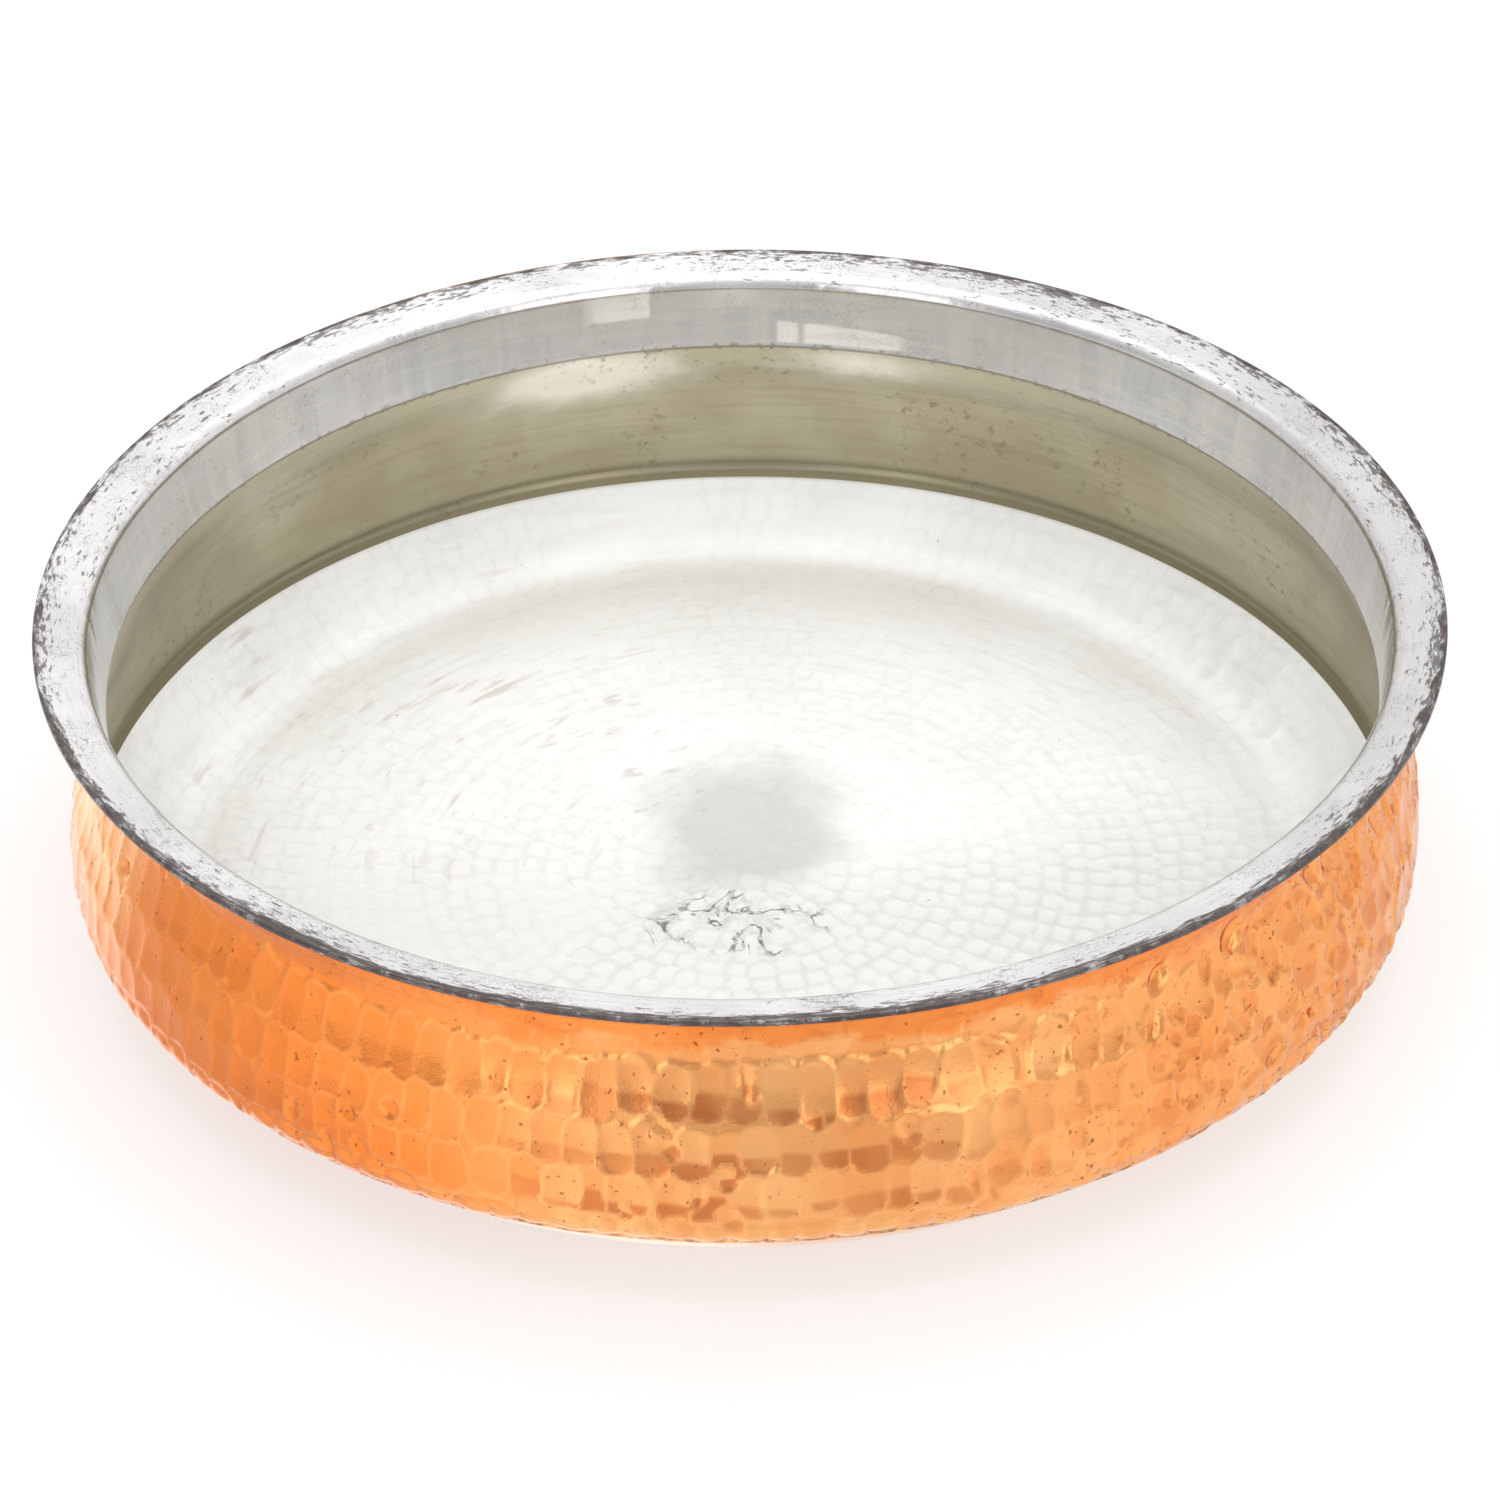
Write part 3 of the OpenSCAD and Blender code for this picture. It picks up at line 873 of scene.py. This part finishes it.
def lip_material():
    t = Tree("scratched_tin")
    on_lip = t.range(t.z, 0.0785, 0.0800)
    outer = t.range(t.r, 0.1585, 0.1650)
    cloud = t.range(t.noise(24, 3), 0.36, 0.66)
    tone = t.attr("tone")
    inside = t.mix(t.range(tone, 0.15, 0.6), (0.59, 0.60, 0.60), (0.67, 0.67, 0.66))
    inside = t.mix(t.range(t.noise(13, 2), 0.4, 0.65, 0, 0.75), inside, (0.70, 0.665, 0.665))
    # the neck is painted near white where its tone is high: mostly painted highlights, a little random
    # facet tone
    uneven = t.range(t.noise(1.0, 4, t.streak(30, 0, 110)), 0.3, 0.7, -0.06, 0.06)
    facet_tone_and_highlight = t.math("ADD", tone, uneven)
    inside = t.mix(t.range(facet_tone_and_highlight, 0.45, 0.95), inside, (1.0, 1.0, 0.99))
    top = t.mix(cloud, (0.87, 0.865, 0.86), (0.73, 0.72, 0.72))
    back_right = t.math("ADD", t.side, t.both(t.front, 0.35))
    top = t.mix(t.range(back_right, 0.2, 0.95, 0, 0.45), top, (0.55, 0.54, 0.53))
    colour = t.mix(on_lip, inside, top)
    off_lip = t.math("SUBTRACT", 1.0, on_lip)
    fine = t.range(t.noise(1.0, 5, t.streak(14, 1300, 900), rough=0.7), 0.50, 0.72)
    colour = t.mix(t.both(fine, t.range(on_lip, 0, 1, 0.15, 0.45)), colour, (0.42, 0.39, 0.38))
    upright = t.range(t.noise(1.0, 3, t.streak(48, 0, 45)), 0.42, 0.64)
    colour = t.mix(t.both(t.both(upright, off_lip), 0.17), colour, (0.86, 0.83, 0.83))
    smear = t.both(t.range(t.noise(1.0, 4, t.streak(6, 200, 420), rough=0.65), 0.46, 0.66), off_lip)
    colour = t.mix(t.both(smear, 0.40), colour, (0.80, 0.76, 0.76))
    scratch = t.both(t.veins(300, 0.018, 2.2), t.range(t.noise(75, 2), 0.46, 0.60))
    colour = t.mix(t.both(scratch, t.range(on_lip, 0, 1, 0.40, 0.75)), colour, (0.16, 0.14, 0.14))
    patch = t.range(t.noise(1.0, 2, t.streak(3.2, 60, 0)), 0.40, 0.62)
    much = t.math("ADD", t.both(outer, 0.13), t.both(patch, 0.07))
    level = t.math("ADD", t.noise(1.0, 5, t.streak(42, 950, 600), rough=0.72), much)
    flecks = t.both(t.range(level, 0.615, 0.68), on_lip)
    colour = t.mix(t.both(flecks, 0.8), colour, (0.10, 0.085, 0.085))
    ragged = t.range(t.noise(1.0, 4, t.streak(16, 500, 500)), 0.3, 0.7, -0.0010, 0.0010)
    band = t.math("ADD", t.math("SUBTRACT", t.r, t.z), t.range(t.front, 0.1, -0.7, 0, 0.0011))
    edge = t.both(t.range(t.math("ADD", band, ragged), 0.0812, 0.0821), t.range(t.r, 0.1615, 0.1625))
    patchy = t.range(t.noise(1.0, 4, t.streak(26, 800, 800), rough=0.65), 0.34, 0.52, 0.40, 0.92)
    colour = t.mix(t.both(edge, patchy), colour, (0.09, 0.070, 0.065))
    back_left = t.both(t.range(t.front, 0.72, 0.90), t.range(t.side, 0.08, -0.15))
    bare = t.both(t.range(t.r, 0.16435, 0.16480), back_left)
    colour = t.mix(t.both(bare, 0.85), colour, (0.90, 0.52, 0.28))
    # painted shade: a dark line along the crease at the foot of the neck, with dark specks beside it
    crease_shade_and_specks = t.math("MAXIMUM", t.range(t.z, 0.0622, 0.0617),
                    t.both(t.range(t.z, 0.0630, 0.0620), t.range(t.noise(420, 4), 0.56, 0.60)))
    colour = t.mix(t.both(crease_shade_and_specks, 0.5), colour, (0.12, 0.11, 0.10))
    rough_lip = t.math("ADD", 0.30, t.both(fine, 0.18))
    rough_neck = t.math("ADD", 0.12, t.both(t.noise(60, 3), 0.10))
    rough = t.make("Mix", {0: on_lip, 2: rough_neck, 3: rough_lip}).outputs[0]
    normal = t.bump(t.both(fine, on_lip), 0.00006, 0.6)
    normal = t.bump(t.math("SUBTRACT", 1.0, flecks), 0.0001, 0.6, normal)
    return t.done(colour, rough, normal)


def brass_material():
    t = Tree("brass_filler")
    cloud = t.range(t.noise(200, 3), 0.35, 0.65)
    colour = t.mix(cloud, (0.80, 0.58, 0.25), (0.62, 0.40, 0.14))
    rough = t.math("ADD", 0.3, t.both(t.noise(500, 3), 0.2))
    return t.done(colour, rough, t.bump(t.noise(900, 3), 0.0001, 0.5))


hammered, brass = copper("hammered_copper", True), brass_material()
PIECES = [
    (base_pan, "base_pan", "hammered_copper", hammered),
    (belly, "belly_wall", "hammered_copper", hammered),
    (collar, "neck_collar", "smooth_copper", copper("smooth_copper", False)),
    (low_seam, "lower_seam_braze", "brass_filler", brass),
    (up_seam, "upper_seam_braze", "brass_filler", brass),
    (floor_tin, "floor_tinning", "planished_tin", floor_material()),
    (wall_tin, "wall_tinning", "satin_tin", wall_material()),
    (lip_tin, "lip_tinning", "scratched_tin", lip_material()),
]
for ob, cad_node, slot, material in PIECES:
    ob.data.materials.append(material)
    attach(ob, "root")
    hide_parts(cad_node)


# ---------------------------------------------------------------- studio
def stage_mesh(name, corners, material):
    me = bpy.data.meshes.new(name)
    me.from_pydata(corners, [], [tuple(range(len(corners)))])
    me.materials.append(material)
    ob = bpy.data.objects.new(name, me)
    bpy.context.scene.collection.objects.link(ob)
    return ob


def studio_floor_material():
    t = Tree("studio_floor")
    tone = t.range(t.noise(2.0, 2), 0.3, 0.7)
    colour = t.mix(tone, (0.35, 0.35, 0.35), (0.34, 0.34, 0.34))
    t.bsdf.inputs["Specular IOR Level"].default_value = 0.0
    t.bsdf.inputs["Emission Color"].default_value = (1, 1, 1, 1)
    t.bsdf.inputs["Emission Strength"].default_value = 0.64
    return t.done(colour, 0.6, t.bump(t.noise(60, 2), 0.0002, 0.2), 0.0)


FLOOR_HALF = 9.0
floor_corners = [(x * FLOOR_HALF, y * FLOOR_HALF, 0) for x, y in ((-1, -1), (1, -1), (1, 1), (-1, 1))]
studio_floor = stage_mesh("studio_floor", floor_corners, studio_floor_material())
studio_floor.visible_glossy = False     # the metal sees the graded world below instead


def softbox(name, azimuth, elevation, distance, wide, tall, power):
    light = bpy.data.lights.new(name, "AREA")
    light.shape = "RECTANGLE"
    light.size, light.size_y = wide, tall
    light.energy = power        # watts
    ob = bpy.data.objects.new(name, light)
    bpy.context.scene.collection.objects.link(ob)
    a, e = math.radians(azimuth), math.radians(elevation)
    back = Vector((math.sin(a) * math.cos(e), -math.cos(a) * math.cos(e), math.sin(e)))
    ob.location = Vector((0, 0, 0.04)) + back * distance
    ob.rotation_mode = "QUATERNION"
    ob.rotation_quaternion = (-back).to_track_quat("-Z", "Y")


softbox("softbox_left", -29, 24, 1.5, 0.50, 1.2, 2.1)
softbox("softbox_right", 31, 24, 1.5, 0.62, 1.2, 2.3)
softbox("softbox_top", 180, 84, 1.6, 1.6, 1.6, 13)

# the camera sees plain white, and everything else sees a dome graded by direction
world = bpy.data.worlds.new("studio")
bpy.context.scene.world = world
world.use_nodes = True
nt = world.node_tree
nt.nodes.clear()
out = nt.nodes.new("ShaderNodeOutputWorld")
seen = nt.nodes.new("ShaderNodeBackground")
seen.inputs["Color"].default_value = (1, 1, 1, 1)
seen.inputs["Strength"].default_value = 1.0
dome = nt.nodes.new("ShaderNodeBackground")
path = nt.nodes.new("ShaderNodeLightPath")
either = nt.nodes.new("ShaderNodeMixShader")
coord = nt.nodes.new("ShaderNodeTexCoord")
split = nt.nodes.new("ShaderNodeSeparateXYZ")
nt.links.new(coord.outputs["Generated"], split.inputs[0])


def world_range(source, lo, hi, out_lo, out_hi):
    n = nt.nodes.new("ShaderNodeMapRange")
    n.interpolation_type = "SMOOTHSTEP"
    nt.links.new(source, n.inputs["Value"])
    for key, value in (("From Min", lo), ("From Max", hi), ("To Min", out_lo), ("To Max", out_hi)):
        n.inputs[key].default_value = value
    return n.outputs[0]


def world_math(op, a, b):
    n = nt.nodes.new("ShaderNodeMath")
    n.operation = op
    for socket, value in zip(n.inputs, (a, b)):
        if isinstance(value, float):
            socket.default_value = value
        else:
            nt.links.new(value, socket)
    return n.outputs[0]


# the tent is brightest behind and overhead, dimmer in front and on the left
depth_glow = world_range(split.outputs[1], -0.7, 0.35, 0.72, 1.05)
side_glow = world_range(split.outputs[0], -0.9, 0.3, 0.85, 1.0)
top_glow = world_range(split.outputs[2], 0.35, 0.85, 0.0, 1.0)
tent = world_math("MAXIMUM", world_math("MULTIPLY", depth_glow, side_glow), top_glow)
# below and just above the horizon: pale table, with a dark strip beyond its front edge
across = world_math("ARCTAN2", split.outputs[0], world_math("MULTIPLY", split.outputs[1], -1.0))
low_part = world_range(split.outputs[2], 0.12, 0.0, 0.0, 1.0)


def lobe(centre, flat, soft):
    """1 within flat degrees of an azimuth, 0 soft degrees further out."""
    off = world_math("ABSOLUTE", world_math("SUBTRACT", across, math.radians(centre)), 0.0)
    return world_range(off, math.radians(flat + soft), math.radians(flat), 0.0, 1.0)


table = world_math("ADD", 1.0, world_math("MULTIPLY", lobe(-50, 22, 26), 0.24))
table = world_math("ADD", table, world_math("MULTIPLY", lobe(-160, 24, 20), 0.42))
table = world_math("ADD", table, world_math("MULTIPLY", lobe(66, 12, 28), 0.10))
table = world_math("SUBTRACT", table, world_math("MULTIPLY", lobe(-100, 18, 24), 0.10))
level = world_math("ADD", tent, world_math("MULTIPLY", low_part, world_math("SUBTRACT", table, tent)))
strip = world_math("MULTIPLY", world_range(split.outputs[2], -0.42, -0.33, 0.0, 1.0),
                   world_range(split.outputs[2], 0.32, 0.16, 0.0, 1.0))
strip = world_math("MULTIPLY", world_math("MULTIPLY", strip, lobe(8, 20, 26)), -0.15)
level = world_math("MULTIPLY", level, world_math("ADD", strip, 1.0))
nt.links.new(level, dome.inputs["Strength"])
dome.inputs["Color"].default_value = (1, 1, 1, 1)
nt.links.new(path.outputs["Is Camera Ray"], either.inputs[0])
nt.links.new(dome.outputs[0], either.inputs[1])
nt.links.new(seen.outputs[0], either.inputs[2])
nt.links.new(either.outputs[0], out.inputs["Surface"])

# ---------------------------------------------------------------- camera
ELEVATION = math.radians(34.6)
ROLL = -0.00975
AIM = (-0.01145, 0.22731, 7.11252)      # lip centre to lens, in lip radii: right, up, forward
right = Vector((1, 0, 0))
up = Vector((0, math.sin(ELEVATION), math.cos(ELEVATION)))
forward = Vector((0, math.cos(ELEVATION), -math.sin(ELEVATION)))
place = Vector((0, 0, HEIGHT * MM)) - LIP_R * MM * (AIM[0] * right + AIM[1] * up + AIM[2] * forward)
camera = bpy.data.objects.new("camera", bpy.data.cameras.new("camera"))
camera.data.lens = 120
camera.data.sensor_width = 36
camera.data.clip_start, camera.data.clip_end = 0.01, 50
turned = Matrix((right, up, -forward)).transposed() @ Matrix.Rotation(ROLL, 3, "Z")
camera.matrix_world = Matrix.Translation(place) @ turned.to_4x4()
bpy.context.scene.collection.objects.link(camera)
bpy.context.scene.camera = camera

bpy.context.scene.view_settings.view_transform = "Standard"
bpy.context.scene.view_settings.look = "None"
